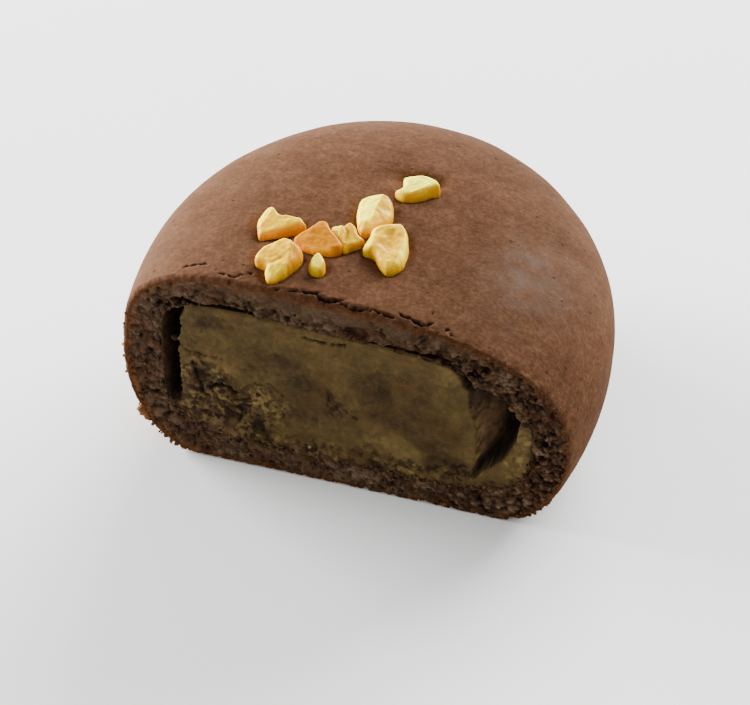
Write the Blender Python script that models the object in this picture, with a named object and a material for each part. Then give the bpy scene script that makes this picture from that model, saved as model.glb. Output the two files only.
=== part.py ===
"""Chocolate manju, cut open: a soft cocoa crust round a bean-paste filling, with chopped nuts on top.

The bun is an oval dome, and a knife has taken its front off, so the cut face stands at the front and
faces -Y.  The crust is one cup-shaped solid with the chopped nuts fused to it, and the filling is one
solid that runs back through it.  Both are cast from one centre in the cut plane: columns go round the
cut outline and rows go back from it, so the faces on either side of the gap between them never cross.
"""

import math

import bmesh
import bpy
import numpy as np
from mathutils import Vector, noise

MM = 0.001

# Bun, seen from the front: X across, Z up
HALF_WIDTH = 25.0 * MM
HEIGHT = 24.8 * MM
WIDEST_HEIGHT = 11.8 * MM
BASE_HALF_WIDTH = 17.7 * MM
SIDE_TILT = -0.0525  # share that the height changes by at the right side, so the left stands taller

# Bun, seen from above: Y runs back from the cut
CUT_Y = -7.7 * MM
LENGTH_RATIO = 1.35
PLAN_EXPONENT = 2.12
THREE_LOBES = 0.02
FOUR_LOBES = 0.018
TOP_LEAN = (0.6 * MM, 1.75 * MM)

# Profile exponents: 2 is an ellipse, and more is squarer
SHOULDER = 3.13
SHOULDER_RIGHT = -0.71
SHOULDER_BACK = -0.24
UNDERSIDE = 2.0

# Cavity that the filling lies in
CAVITY_CENTRE = (0.25 * MM, 0.0, 11.75 * MM)
CAVITY_HALF = (20.3 * MM, 29.1 * MM, 8.55 * MM)
CAVITY_PLAN_EXPONENT = 2.6
CAVITY_CORNER = 4.3
CAVITY_CORNER_RIGHT = -1.2
GAP = 0.3 * MM

# Rays and rows
CENTRE = np.array((0.0, CUT_Y, 11.5 * MM))
COLUMNS = 96
THINNING = ((0.94, 8), (0.86, 4), (0.7, 2))  # past this share of the way to a pole, one column in so many
OUTLINE_STEPS = 1440
OUTER_ROWS = 16
OUTER_LENGTH_RATIO = (HALF_WIDTH * LENGTH_RATIO - CUT_Y) / HALF_WIDTH
CAVITY_ROWS = 9
CAVITY_LENGTH_RATIO = (CAVITY_HALF[1] - CUT_Y) / CAVITY_HALF[0]
RING_ROWS = (0.25, 0.5, 0.75)  # shares of the way over the cut edge of the crust
FRONT_ROWS = (0.08, 0.17, 0.27, 0.37, 0.47, 0.57, 0.67, 0.77, 0.87, 0.96)  # shares of the way out
REACH = 60.0 * MM
HALVINGS = 45

# Relief of the cut face: height, width of a swell, place in the noise, share of finer relief
RING_RELIEF = (0.4 * MM, 2.8 * MM, 3.0, 0.6)
FILLING_RELIEF = (0.4 * MM, 7.0 * MM, 7.0, 0.45)
FINER = 2.3
RING_SETBACK = 0.2 * MM
FILLING_SETBACK = 0.5 * MM

# Hollows in the filling, as leaf shapes on the cut face: foot, tip, bulge, half width, lean to the tip
SLOT_MOUTH = ((-19.7 * MM, 6.8 * MM), (-19.3 * MM, 21.4 * MM), 0.0, 2.0 * MM, 1.15)
SLOT_FLOOR = ((-20.2 * MM, 9.0 * MM), (-19.9 * MM, 20.8 * MM), 0.0, 1.5 * MM, 1.15)
SLOT_DEPTH = 6.5 * MM
HOLLOW_MOUTH = ((14.0 * MM, 4.7 * MM), (15.5 * MM, 17.5 * MM), 1.9 * MM, 2.3 * MM, 1.4)
HOLLOW_FLOOR = ((16.7 * MM, 8.4 * MM), (17.0 * MM, 15.6 * MM), 0.7 * MM, 1.2 * MM, 1.2)
HOLLOW_DEPTH = 7.0 * MM
POCKET_STEPS = (0.45, 0.85)  # shares of the depth
CUTTER_START = 3.0 * MM  # in front of the cut face
LEAF_POINTS = 12

# Dents in the skin: x, y, radius, depth
DENTS = (
    (17.1 * MM, 13.1 * MM, 2.6 * MM, 0.45 * MM),
    (-0.8 * MM, 15.4 * MM, 1.6 * MM, 0.6 * MM),
    (9.0 * MM, 20.5 * MM, 4.0 * MM, 0.35 * MM),
)

# Chopped nuts: place on the top, height above the skin, and corners round the place, all in mm
NUTS = (
    (-9.7, 1.6, 1.7, ((-2.6, 1.1), (-1.6, 2.0), (-0.3, 1.3), (1.9, 1.7), (2.6, 0.9), (1.0, -0.9),
                      (-1.2, -2.0), (-2.2, -1.1))),
    (-7.9, -3.7, 1.9, ((-2.4, 0.9), (-1.2, 2.5), (0.2, 2.9), (2.0, 2.0), (2.3, 0.0), (1.1, -2.5),
                       (-0.3, -2.9), (-1.0, -1.9), (-2.2, -0.9))),
    (-5.0, 1.3, 1.9, ((-2.7, -1.1), (-1.1, 1.3), (-0.4, 2.0), (0.9, 1.2), (2.5, -0.7), (1.5, -1.8),
                      (-1.0, -2.0))),
    (-2.6, 2.2, 1.5, ((-1.8, 0.8), (-0.5, 1.6), (0.8, 0.8), (1.8, 0.2), (0.9, -1.1), (0.2, -1.6),
                      (-1.2, -0.4))),
    (-4.0, -2.9, 1.1, ((-0.8, 0.7), (0.2, 1.0), (0.8, 0.0), (0.6, -1.0), (-0.7, -0.9))),
    (-1.2, 7.1, 2.1, ((-1.9, 1.3), (-0.8, 3.0), (0.8, 3.1), (1.9, 1.0), (1.5, -0.9), (0.3, -3.1),
                      (-0.9, -2.7), (-1.6, -0.6))),
    (1.9, 2.0, 2.3, ((-2.2, 1.6), (-0.8, 3.3), (1.2, 3.1), (2.0, 0.0), (2.1, -3.0), (0.9, -3.6),
                     (-0.5, -2.6), (-2.0, -1.6))),
    (1.9, 13.2, 1.6, ((-1.6, 0.9), (0.1, 2.2), (1.3, 2.1), (2.0, 1.2), (0.7, -1.1), (-1.3, -2.2),
                      (-2.1, -1.5))),
)
NUT_POINTS = 16
NUT_CURVE_STEPS = 12
NUT_RINGS = ((0.0, -0.7), (0.82, -0.7), (1.0, 0.1), (0.9, 0.68), (0.55, 0.96), (0.0, 1.0))  # width, height

CRUST_COLOUR = (0.19, 0.085, 0.05, 1.0)
FILLING_COLOUR = (0.13, 0.085, 0.03, 1.0)


def inside_bun(points):
    """Which points lie inside the whole bun."""
    x, y, z = points.T
    z = z / (1 + SIDE_TILT * x / HALF_WIDTH)
    rise = np.clip((z - WIDEST_HEIGHT) / (HEIGHT - WIDEST_HEIGHT), 0, 1)
    fall = np.clip((WIDEST_HEIGHT - z) / WIDEST_HEIGHT, 0, 1)
    across = x - TOP_LEAN[0] * rise
    along = (y - TOP_LEAN[1] * rise) / LENGTH_RATIO
    heading = np.arctan2(along, across)
    cosine = np.cos(heading)
    sine = np.sin(heading)
    plan = (np.abs(cosine) ** PLAN_EXPONENT + np.abs(sine) ** PLAN_EXPONENT) ** (-1 / PLAN_EXPONENT)
    plan *= 1 + THREE_LOBES * np.sin(3 * heading) + FOUR_LOBES * np.cos(4 * heading)
    shoulder = SHOULDER + SHOULDER_RIGHT * cosine + SHOULDER_BACK * sine
    upper = HALF_WIDTH * (1 - rise ** shoulder) ** (1 / shoulder)
    lower = BASE_HALF_WIDTH + (HALF_WIDTH - BASE_HALF_WIDTH) * (1 - fall ** UNDERSIDE) ** (1 / UNDERSIDE)
    radius = np.where(z >= WIDEST_HEIGHT, upper, lower)
    return (np.hypot(across, along) < radius * plan) & (z > 0) & (z < HEIGHT)


def inside_cavity(points, margin):
    """Which points lie inside the cavity, drawn in by a margin."""
    tilt = 1 + SIDE_TILT * points[:, 0] / HALF_WIDTH
    x = (points[:, 0] - CAVITY_CENTRE[0]) / (CAVITY_HALF[0] - margin)
    y = (points[:, 1] - CAVITY_CENTRE[1]) / (CAVITY_HALF[1] - margin)
    z = (points[:, 2] / tilt - CAVITY_CENTRE[2]) / (CAVITY_HALF[2] - margin)
    plan = np.abs(x) ** CAVITY_PLAN_EXPONENT + np.abs(y) ** CAVITY_PLAN_EXPONENT
    plan = np.minimum(plan, 1.0) ** (1 / CAVITY_PLAN_EXPONENT)
    corner = CAVITY_CORNER + CAVITY_CORNER_RIGHT * np.clip(x, -1, 1) * (1 + np.clip(z, -1, 1))
    return (plan ** corner + np.minimum(np.abs(z), 2.0) ** corner < 1) & (plan < 1)


def cast(inside, start, directions):
    """Distance from the start to the surface along each direction, found by halving."""
    near = np.zeros(len(directions))
    far = np.full(len(directions), REACH)
    for _ in range(HALVINGS):
        middle = (near + far) / 2
        hit = inside(start + middle[:, None] * directions)
        near = np.where(hit, middle, near)
        far = np.where(hit, far, middle)
    return near


def spread_columns():
    """Angles round the cut face at equal steps along the bun's outline."""
    angles = np.linspace(0, 2 * math.pi, OUTLINE_STEPS + 1)
    rays = np.stack([np.cos(angles), np.zeros_like(angles), np.sin(angles)], axis=1)
    outline = rays * cast(inside_bun, CENTRE, rays)[:, None]
    steps = np.linalg.norm(np.diff(outline, axis=0), axis=1)
    walked = np.concatenate([[0.0], np.cumsum(steps)])
    return np.interp(np.arange(COLUMNS) * walked[-1] / COLUMNS, walked, angles)


def column_step(share):
    """Every how many columns a row has a point: fewer points where the columns draw together."""
    for beyond, step in THINNING:
        if share > beyond:
            return step
    return 1


def shell_rows(inside, angles, rows, length_ratio):
    """Rows of points on a surface, from its edge in the cut plane to the last ring before its back."""
    made = []
    for row in range(rows):
        share = row / rows
        turn = angles[:: column_step(share)]
        back = math.atan(length_ratio * math.tan(share * math.pi / 2))
        rays = np.empty((len(turn), 3))
        rays[:, 0] = math.cos(back) * np.cos(turn)
        rays[:, 1] = math.sin(back)
        rays[:, 2] = math.cos(back) * np.sin(turn)
        made.append(CENTRE + rays * cast(inside, CENTRE, rays)[:, None])
    back_ray = np.array([(0.0, 1.0, 0.0)])
    pole = CENTRE + back_ray * cast(inside, CENTRE, back_ray)[:, None]
    return made + [pole]


def relief(points, height, width, place, finer_share):
    """Uneven lift of the cut face at each point: a broad swell and a finer one."""
    lift = []
    for x, _, z in points:
        broad = noise.noise(Vector((x / width, place, z / width)))
        fine = noise.noise(Vector((x / width, -place, z / width)) * FINER)
        lift.append(height * (broad + finer_share * fine))
    return np.array(lift)


def dent(points):
    """Presses the dents into points on the upper skin."""
    pressed = points.copy()
    upper = points[:, 2] > WIDEST_HEIGHT
    for x, y, radius, depth in DENTS:
        away = np.hypot(points[:, 0] - x, points[:, 1] - y) / radius
        pressed[:, 2] -= np.where(upper, depth * np.exp(-away ** 2), 0.0)
    return pressed


def stitch(mesh, first, second):
    """Joins two closed rings of vertices by triangles, walking round both at one pace."""
    a = 0
    b = 0
    while a < len(first) or b < len(second):
        near = (first[a % len(first)], second[b % len(second)])
        if (a + 1) / len(first) <= (b + 1) / len(second):
            a += 1
            mesh.faces.new((*near, first[a % len(first)]))
        else:
            b += 1
            mesh.faces.new((*near, second[b % len(second)]))


def close_with_point(mesh, ring, point):
    """Joins a ring of vertices to one point."""
    for index, vertex in enumerate(ring):
        mesh.faces.new((vertex, ring[(index + 1) % len(ring)], point))


def mesh_from_rows(name, rows):
    """A closed mesh through rows of points: the first and the last row hold one point each."""
    mesh = bmesh.new()
    rings = [[mesh.verts.new(point) for point in row] for row in rows]
    close_with_point(mesh, rings[1], rings[0][0])
    for first, second in zip(rings[1:-2], rings[2:-1]):
        stitch(mesh, first, second)
    close_with_point(mesh, rings[-2], rings[-1][0])
    bmesh.ops.recalc_face_normals(mesh, faces=mesh.faces)
    data = bpy.data.meshes.new(name)
    mesh.to_mesh(data)
    mesh.free()
    return data


def material(name, colour, roughness):
    """A plain material of one colour."""
    made = bpy.data.materials.new(name)
    made.use_nodes = True
    shader = made.node_tree.nodes["Principled BSDF"]
    shader.inputs["Base Color"].default_value = colour
    shader.inputs["Roughness"].default_value = roughness
    shader.inputs["Metallic"].default_value = 0.0
    return made


def add_object(name, data, parent, collection=None):
    """An object that holds the data and rides on its parent."""
    made = bpy.data.objects.new(name, data)
    (collection or bpy.context.scene.collection).objects.link(made)
    made.parent = parent
    return made


def crust_mesh(angles):
    """The cup of dough: back of the skin, cut edge, rough cut ring, then the cavity's wall."""
    skin = [dent(row) for row in shell_rows(inside_bun, angles, OUTER_ROWS, OUTER_LENGTH_RATIO)]
    wall = shell_rows(lambda points: inside_cavity(points, 0.0), angles, CAVITY_ROWS, CAVITY_LENGTH_RATIO)
    ring = [skin[0] + (wall[0] - skin[0]) * share for share in RING_ROWS]
    for row in ring + wall[:1]:
        row[:, 1] += RING_SETBACK + relief(row, *RING_RELIEF)
    return mesh_from_rows("crust", skin[::-1] + ring + wall)


def filling_mesh(angles):
    """The bean paste: its uneven front, then its side against the cavity's wall."""
    side = shell_rows(lambda points: inside_cavity(points, GAP), angles, CAVITY_ROWS, CAVITY_LENGTH_RATIO)
    edge = side[0]
    front = [CENTRE[None, :].copy()]
    for share in FRONT_ROWS:
        front.append(CENTRE + (edge[:: column_step(1 - share)] - CENTRE) * share)
    for row in front + side[:1]:
        row[:, 1] += FILLING_SETBACK + relief(row, *FILLING_RELIEF)
    return mesh_from_rows("filling", front + side)


def leaf(foot, tip, bulge, half_width, lean):
    """Outline of a leaf shape on the cut face, as (x, z) points going round it.

    It bulges to the right of the line from foot to tip, and a lean over 1 puts its widest part near the tip.
    """
    foot = np.array(foot)
    tip = np.array(tip)
    along = (tip - foot) / np.linalg.norm(tip - foot)
    right = np.array((along[1], -along[0]))
    outline = []
    for side, shares in ((1, np.arange(0, LEAF_POINTS)), (-1, np.arange(LEAF_POINTS, 0, -1))):
        for share in shares / LEAF_POINTS:
            middle = foot + (tip - foot) * share + right * bulge * math.sin(math.pi * share)
            half = half_width * math.sqrt(math.sin(math.pi * share ** lean))
            outline.append(middle + right * side * half)
    return outline


def pocket_cutter(name, mouth, floor, depth, parent):
    """A cutter that runs from in front of the cut face to a smaller floor behind it."""
    mouth = np.array(leaf(*mouth))
    floor = np.array(leaf(*floor))
    sections = [(mouth, CUT_Y - CUTTER_START), (mouth, CUT_Y)]
    for share in POCKET_STEPS:
        sections.append((mouth + (floor - mouth) * share, CUT_Y + depth * share))
    sections.insert(0, (mouth.mean(axis=0)[None, :], CUT_Y - CUTTER_START))
    sections.append((floor.mean(axis=0)[None, :], CUT_Y + depth))
    rows = [[(x, y, z) for x, z in outline] for outline, y in sections]
    cutter = add_object(name, mesh_from_rows(name, rows), parent)
    cutter.hide_render = True
    cutter.display_type = "WIRE"
    return cutter


def smooth_loop(corners, count):
    """Points evenly along a closed curve that passes through the corners, a Catmull-Rom spline."""
    curve = []
    for index in range(len(corners)):
        around = [corners[(index + turn) % len(corners)] for turn in (-1, 0, 1, 2)]
        before, start, end, beyond = map(Vector, around)
        for share in np.linspace(0, 1, NUT_CURVE_STEPS, endpoint=False):
            bend = 2 * before - 5 * start + 4 * end - beyond
            twist = 3 * (start - end) + beyond - before
            point = 2 * start + (end - before) * share + bend * share ** 2 + twist * share ** 3
            curve.append(point / 2)
    closed = np.array(curve + curve[:1])
    walked = np.concatenate([[0.0], np.cumsum(np.linalg.norm(np.diff(closed, axis=0), axis=1))])
    at = np.arange(count) * walked[-1] / count
    return np.stack([np.interp(at, walked, closed[:, 0]), np.interp(at, walked, closed[:, 1])], axis=1)


def skin_height(places):
    """Height of the bun's skin over (x, y) places near its top."""
    start = np.column_stack([places, np.full(len(places), WIDEST_HEIGHT)])
    up = np.tile((0.0, 0.0, 1.0), (len(places), 1))
    return WIDEST_HEIGHT + cast(inside_bun, start, up)


def nut_mesh(name, x, y, height, corners):
    """A chopped nut: a rounded chunk with the given outline, its lower half sunk in the skin."""
    outline = smooth_loop(corners, NUT_POINTS)
    rows = []
    for share, lift in NUT_RINGS:
        ring = outline if share else outline[:1]
        places = (np.array((x, y)) + ring * share) * MM
        rows.append(np.column_stack([places, skin_height(places) + lift * height * MM]))
    return mesh_from_rows(name, rows)


def fuse_nuts(crust, parent):
    """Fuses the chopped nuts to the crust with one Boolean union, then removes their own objects."""
    nuts = bpy.data.collections.new("nuts")
    bpy.context.scene.collection.children.link(nuts)
    for index, (x, y, height, corners) in enumerate(NUTS):
        name = f"nut_{index + 1}"
        add_object(name, nut_mesh(name, x, y, height, corners), parent, nuts)
    union = crust.modifiers.new("fuse_nuts", "BOOLEAN")
    union.operation = "UNION"
    union.operand_type = "COLLECTION"
    union.collection = nuts
    union.solver = "EXACT"
    bpy.context.view_layer.update()
    evaluated = crust.evaluated_get(bpy.context.evaluated_depsgraph_get())
    fused = bpy.data.meshes.new_from_object(evaluated)
    crust.modifiers.remove(union)
    crust.data = fused
    for nut in list(nuts.objects):
        bpy.data.objects.remove(nut)
    bpy.data.collections.remove(nuts)


def build():
    """Clears the scene and makes the manju, with the bottom centre of its box at the origin."""
    for old in list(bpy.data.objects):
        bpy.data.objects.remove(old)
    angles = spread_columns()
    manju = add_object("manju", None, None)
    crust = add_object("crust", crust_mesh(angles), manju)
    fuse_nuts(crust, manju)
    filling = add_object("filling", filling_mesh(angles), manju)
    pockets = (
        pocket_cutter("slot_cutter", SLOT_MOUTH, SLOT_FLOOR, SLOT_DEPTH, manju),
        pocket_cutter("hollow_cutter", HOLLOW_MOUTH, HOLLOW_FLOOR, HOLLOW_DEPTH, manju),
    )
    for cutter in pockets:
        cut = filling.modifiers.new(cutter.name, "BOOLEAN")
        cut.operation = "DIFFERENCE"
        cut.solver = "EXACT"
        cut.object = cutter
    for piece, finish in (
        (crust, material("cocoa_crust", CRUST_COLOUR, 0.6)),
        (filling, material("bean_filling", FILLING_COLOUR, 0.7)),
    ):
        piece.data.materials.clear()
        piece.data.materials.append(finish)
        piece.data.shade_smooth()
        piece.data.set_sharp_from_angle(angle=math.radians(50))
    corners = np.array([vertex.co for vertex in crust.data.vertices])
    low = corners.min(axis=0)
    high = corners.max(axis=0)
    manju.location = (-(low[0] + high[0]) / 2, -(low[1] + high[1]) / 2, -low[2])


build()
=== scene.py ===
"""The looks of a cut chocolate manju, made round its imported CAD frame.

The dough and the filling follow the same bun and cavity formulas as the CAD solids, on finer grids,
and get their crumb, cracks, smears and colours here.  Sizes below are in millimetres unless they say
otherwise, in the bun's own frame: X across the cut face, Y back from it, Z up, its origin on the base.
"""

import math
import random

import bpy
import numpy as np
from mathutils import Matrix, Vector, noise


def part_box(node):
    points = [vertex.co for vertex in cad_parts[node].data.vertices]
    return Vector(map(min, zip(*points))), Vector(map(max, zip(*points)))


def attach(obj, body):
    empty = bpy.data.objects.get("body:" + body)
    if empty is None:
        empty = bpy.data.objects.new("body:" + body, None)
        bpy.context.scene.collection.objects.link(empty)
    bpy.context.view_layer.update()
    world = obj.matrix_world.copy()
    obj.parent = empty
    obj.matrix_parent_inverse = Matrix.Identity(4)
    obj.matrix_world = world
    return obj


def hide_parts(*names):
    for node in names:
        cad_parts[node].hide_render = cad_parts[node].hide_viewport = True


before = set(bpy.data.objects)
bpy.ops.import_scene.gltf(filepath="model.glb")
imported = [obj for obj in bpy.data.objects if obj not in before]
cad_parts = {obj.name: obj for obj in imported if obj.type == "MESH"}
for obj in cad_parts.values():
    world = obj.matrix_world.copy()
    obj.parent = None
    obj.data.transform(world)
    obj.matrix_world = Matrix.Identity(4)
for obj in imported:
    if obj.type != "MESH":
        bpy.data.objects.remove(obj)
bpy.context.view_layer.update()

MM = 0.001

# Bun, as in the CAD
HALF_WIDTH = 25.0
HEIGHT = 24.8
WIDEST_HEIGHT = 11.8
BASE_HALF_WIDTH = 17.7
SIDE_TILT = -0.0525
CUT_Y = -7.7
LENGTH_RATIO = 1.35
PLAN_EXPONENT = 2.12
THREE_LOBES = 0.02
FOUR_LOBES = 0.018
TOP_LEAN = (0.6, 1.75)
SHOULDER = 3.13
SHOULDER_RIGHT = -0.71
SHOULDER_BACK = -0.24
UNDERSIDE = 2.0
CAVITY_CENTRE = (0.25, 0.0, 11.75)
CAVITY_HALF = (20.3, 29.1, 8.55)
CAVITY_PLAN_EXPONENT = 2.6
CAVITY_CORNER = 4.3
CAVITY_CORNER_RIGHT = -1.2
CAVITY_LENGTH = CAVITY_HALF[1] - CUT_Y
DENTS = ((17.1, 13.1, 2.6, 0.45), (-0.8, 15.4, 1.6, 0.6), (9.0, 20.5, 4.0, 0.35))

# Grids: rays are cast from the centre; steps across and up the filling's face go on round the cut
CENTRE = np.array((0.0, CUT_Y, 11.5))
FACE_ACROSS = 320
FACE_UP = 132
REACH = 60.0
HALVINGS = 30
SKIN_FAN = 96
CAVITY_FAN = 14
RING_ROWS = 44
WALL_REACH = 9.0
CURVE_STEPS = 12

# Cut edge and face: the edge's radius, how deep it crumbles and breaks, and the setback of the face
RIM_RADIUS = 0.8
CRUMBLY_DEPTH = 1.6
RAGGED_DEPTH = 0.35
FACE_SETBACK = 0.16

# Chopped nuts: x, y, height above the skin, finish, corners, and the planes of the crown as
# (slope in x, slope in y, level, paleness), each level and slope a share of the height per mm
NUTS = (
    (-9.7, 1.75, 1.3, "gold",
     ((-2.55, 0.6), (-2.2, 2.0), (-1.5, 2.25), (-0.45, 1.4), (0.45, 1.45), (1.85, 1.45), (2.5, 0.95),
      (1.65, 0.2), (0.8, -0.5), (-0.85, -1.5), (-1.5, -1.95), (-1.9, -1.4), (-2.45, -0.1)),
     ((0.0, 0.20, 0.72, 0.60), (0.35, 0.1, 1.35, 0.7), (-0.30, 0.1, 1.35, 0.7))),
    (-7.9, -3.6, 1.6, "gold",
     ((-2.5, 0.0), (-2.2, 0.85), (-1.4, 1.65), (-0.35, 2.6), (0.6, 2.5), (1.75, 2.1), (2.05, 1.3),
      (1.75, -0.1), (1.15, -1.6), (0.35, -2.7), (-0.25, -2.75), (-0.8, -2.0), (-0.95, -1.1), (-2.2, -0.7)),
     ((0.05, 0.12, 0.78, 0.48), (0.3, 0.0, 1.32, 0.7), (-0.34, 0.04, 1.22, 0.05), (0.05, 0.28, 0.95, 0.8))),
    (-5.0, 1.5, 1.5, "toast",
     ((-2.7, -1.1), (-1.3, 1.0), (-0.8, 1.7), (0.1, 1.7), (0.7, 1.0), (2.5, -0.7), (1.5, -1.8),
      (-1.0, -2.0)),
     ((0.03, 0.19, 0.70, 0.25), (0.02, 0.6, 1.36, 1.0), (0.35, 0.1, 1.4, 0.6))),
    (-2.6, 2.4, 1.4, "gold",
     ((-1.9, 0.9), (-0.8, 1.1), (-0.2, 1.7), (0.6, 1.4), (1.1, 0.6), (1.9, 0.1), (0.9, -1.1), (0.2, -1.7),
      (-1.2, -0.4)),
     ((-0.10, 0.18, 0.72, 0.45), (0.35, 0.2, 1.05, 1.0), (0.0, 0.8, 1.45, 0.7))),
    (-4.0, -2.75, 1.1, "pale",
     ((-0.8, 0.4), (-0.4, 1.2), (0.1, 1.1), (0.8, 0.1), (0.7, -0.9), (0.0, -1.1), (-0.7, -0.7)),
     ((0.0, 0.15, 0.90, 0.75), (0.5, 0.3, 1.2, 0.5), (-0.5, 0.2, 1.2, 0.3))),
    (-1.2, 7.1, 1.4, "pale",
     ((-1.85, 0.5), (-1.63, 1.95), (0.72, 2.74), (1.73, 1.46), (1.95, -0.3), (1.2, -1.8), (0.12, -3.25),
      (-0.83, -2.55), (-1.5, -1.0)),
     ((0.15, 0.06, 0.90, 0.95), (-0.30, 0.06, 1.02, 0.20), (0.1, 0.28, 1.35, 0.35))),
    (1.9, 2.1, 1.6, "pale",
     ((-2.26, 2.0), (-0.9, 2.9), (0.4, 3.3), (1.2, 2.8), (1.9, 1.3), (2.2, -0.4), (2.1, -1.8), (1.2, -3.2),
      (0.1, -2.6), (-1.05, -1.3), (-2.2, -1.1), (-2.45, -0.5), (-2.2, 0.8)),
     ((0.03, 0.08, 0.80, 0.20), (-0.50, 0.05, 1.60, 0.7), (0.34, 0.08, 1.30, 0.9),
      (0.02, 0.30, 1.34, 0.55))),
    (1.9, 13.2, 1.3, "pale",
     ((-1.9, 0.9), (-0.35, 1.8), (0.4, 1.9), (1.5, 1.6), (2.1, 0.9), (1.3, 0.1), (0.45, -1.0), (-0.45, -1.7),
      (-1.5, -1.9), (-2.25, -1.4), (-1.8, -1.0), (-1.6, -0.2)),
     ((0.04, 0.08, 0.86, 1.0), (-0.50, 0.64, 1.36, 0.30), (0.3, 0.1, 1.35, 0.5))),
)

# The sunken skin behind the last nut, as (x, y)
LAST_NUT_SEAT = ((-0.1, 13.7), (0.2, 15.3), (1.6, 16.2), (3.2, 16.0))

# Small folds in the crowns of the nuts, as nut: ((x, y) points, half width, depth as a share)
NUT_FOLDS = {
    1: (((-1.0, -1.3), (-0.2, -0.9), (0.3, -0.3)), 0.2, 0.06),
    3: (((-0.6, 1.0), (0.0, 0.3), (0.1, -0.8)), 0.22, 0.10),
    6: (((0.1, 1.2), (0.4, 0.5), (0.3, 0.0)), 0.65, 0.14),
}

# Mesh of each nut: points round it, rings as shares of the outline, rounded edge and depth in the skin
NUT_POINTS = 96
NUT_SHARES = 1 - np.array([0.0, 0.02, 0.05, 0.09, 0.14, *np.linspace(0.2, 0.95, 22)])
NUT_EDGE = 0.42
NUT_FOOT = 1.5

# Colours of the nuts' hollows, faces and ridges
NUT_COLOURS = {
    "gold": ((0.56, 0.23, 0.001), (0.86, 0.47, 0.001), (1.0, 0.76, 0.005)),
    "toast": ((0.50, 0.17, 0.002), (0.67, 0.25, 0.003), (0.98, 0.58, 0.005)),
    "pale": ((0.66, 0.33, 0.001), (0.94, 0.60, 0.001), (1.0, 0.90, 0.05)),
}

# The sheen patch on the skin, a pale grey painted highlight on its right shoulder, as x, y and its half
# widths across and back
SHEEN_PATCH = (16.2, 5.8, 3.6, 5.8)

# Cracks in the skin over the cut, as (x, y) strokes: points, half width, depth
SKIN_CRACKS = (
    (((-17.3, -6.0), (-16.3, -5.7), (-15.1, -5.4)), 0.08, 0.20),
    (((-13.2, -6.5), (-12.2, -6.7), (-11.5, -6.9), (-11.1, -6.2), (-10.1, -5.7)), 0.10, 0.30),
    (((-8.6, -6.7), (-7.0, -7.1), (-6.1, -7.1)), 0.10, 0.3),
    (((-5.4, -7.0), (-4.2, -6.7), (-2.8, -6.5)), 0.18, 0.6),
    (((-2.5, -6.9), (-1.6, -7.2), (-1.0, -7.0), (-0.2, -6.7)), 0.18, 0.6),
    (((0.0, -7.1), (0.6, -7.1)), 0.12, 0.4),
    (((1.0, -7.3), (1.9, -7.2), (2.7, -7.0)), 0.13, 0.4),
    (((3.1, -7.0), (3.8, -7.1), (4.8, -7.1), (5.7, -7.1)), 0.12, 0.4),
    (((6.1, -6.5), (7.2, -6.8), (7.9, -6.8), (8.3, -7.0), (9.0, -6.7), (9.4, -6.2)), 0.13, 0.45),
    (((8.8, -4.5), (9.1, -5.3), (9.3, -6.1)), 0.07, 0.12),
    (((10.7, -6.9), (11.0, -6.4), (11.5, -7.0)), 0.10, 0.3),
    (((-18.9, 1.5), (-18.4, 1.6), (-18.0, 2.1)), 0.08, 0.12),
    (((6.8, -1.5), (7.2, -1.8), (7.5, -2.1)), 0.08, 0.12),
)

# Pits in the cut crumb, darkened with painted shade through the lift field, as (x, z, half width, half
# height, depth)
CRUMB_PITS = (
    (-12.3, 21.0, 2.6, 0.45, 1.8),
    (-17.0, 20.9, 1.4, 0.6, 1.2),
    (1.8, 21.6, 1.2, 0.7, 0.4),
    (9.3, 20.2, 2.4, 0.35, 1.4),
    (4.3, 20.3, 1.2, 0.4, 1.0),
    (13.8, 18.4, 0.4, 1.0, 1.2),
)

# Tears in the filling's face, as (x, z) strokes: points, half width, depth
FILLING_TEARS = (
    (((-14.8, 9.9), (-14.0, 10.5), (-12.9, 10.6), (-12.0, 10.0)), 0.20, 0.8),
    (((-16.6, 13.0), (-16.2, 11.4), (-15.6, 9.6), (-15.9, 8.4)), 0.14, 0.5),
    (((-17.4, 14.6), (-15.0, 14.2), (-13.2, 14.4)), 0.08, 0.22),
    (((-1.4, 12.6), (-1.6, 10.8), (-1.0, 9.6)), 0.10, 0.22),
    (((0.2, 10.8), (1.0, 10.2), (1.6, 9.8)), 0.10, 0.3),
    (((-12.0, 9.2), (-11.2, 7.4), (-11.6, 6.0)), 0.10, 0.3),
    (((-4.2, 19.5), (-2.0, 19.3), (0.6, 19.6)), 0.12, 0.4),
    (((-9.5, 11.6), (-8.0, 12.2), (-6.6, 11.0)), 0.08, 0.2),
    (((12.0, 19.8), (12.9, 18.9), (13.4, 17.6), (13.9, 16.6)), 0.30, 2.4),
)

# The hollow at the filling's right and the slot at its left, as (x, z) outlines on the cut
HOLLOW_LEFT = ((13.9, 5.3), (14.6, 8.0), (14.6, 10.0), (14.5, 12.0), (14.0, 14.0), (13.6, 16.6))
HOLLOW_RIGHT = (
    (13.6, 16.6), (14.4, 17.5), (15.6, 17.2), (17.0, 16.8), (18.4, 15.6), (19.2, 13.5), (18.7, 11.2),
    (17.9, 9.2), (16.9, 7.6), (15.4, 6.3), (14.4, 5.0), (13.9, 5.3),
)
HOLLOW_EDGE = ((12.8, 19.6), (14.2, 18.4), (16.0, 18.2), (17.8, 17.4), (19.3, 16.0), (20.0, 14.0))
HOLLOW_DEPTH = 7.0
SLOT_EDGE = (
    (-22.0, 7.2), (-18.7, 7.2), (-18.0, 8.0), (-18.0, 10.0), (-18.0, 12.0), (-18.1, 14.0), (-17.8, 16.0),
    (-17.5, 19.0), (-17.0, 20.6), (-17.2, 22.0), (-22.0, 22.0),
)
SLOT_DEPTH = 6.5

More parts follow.
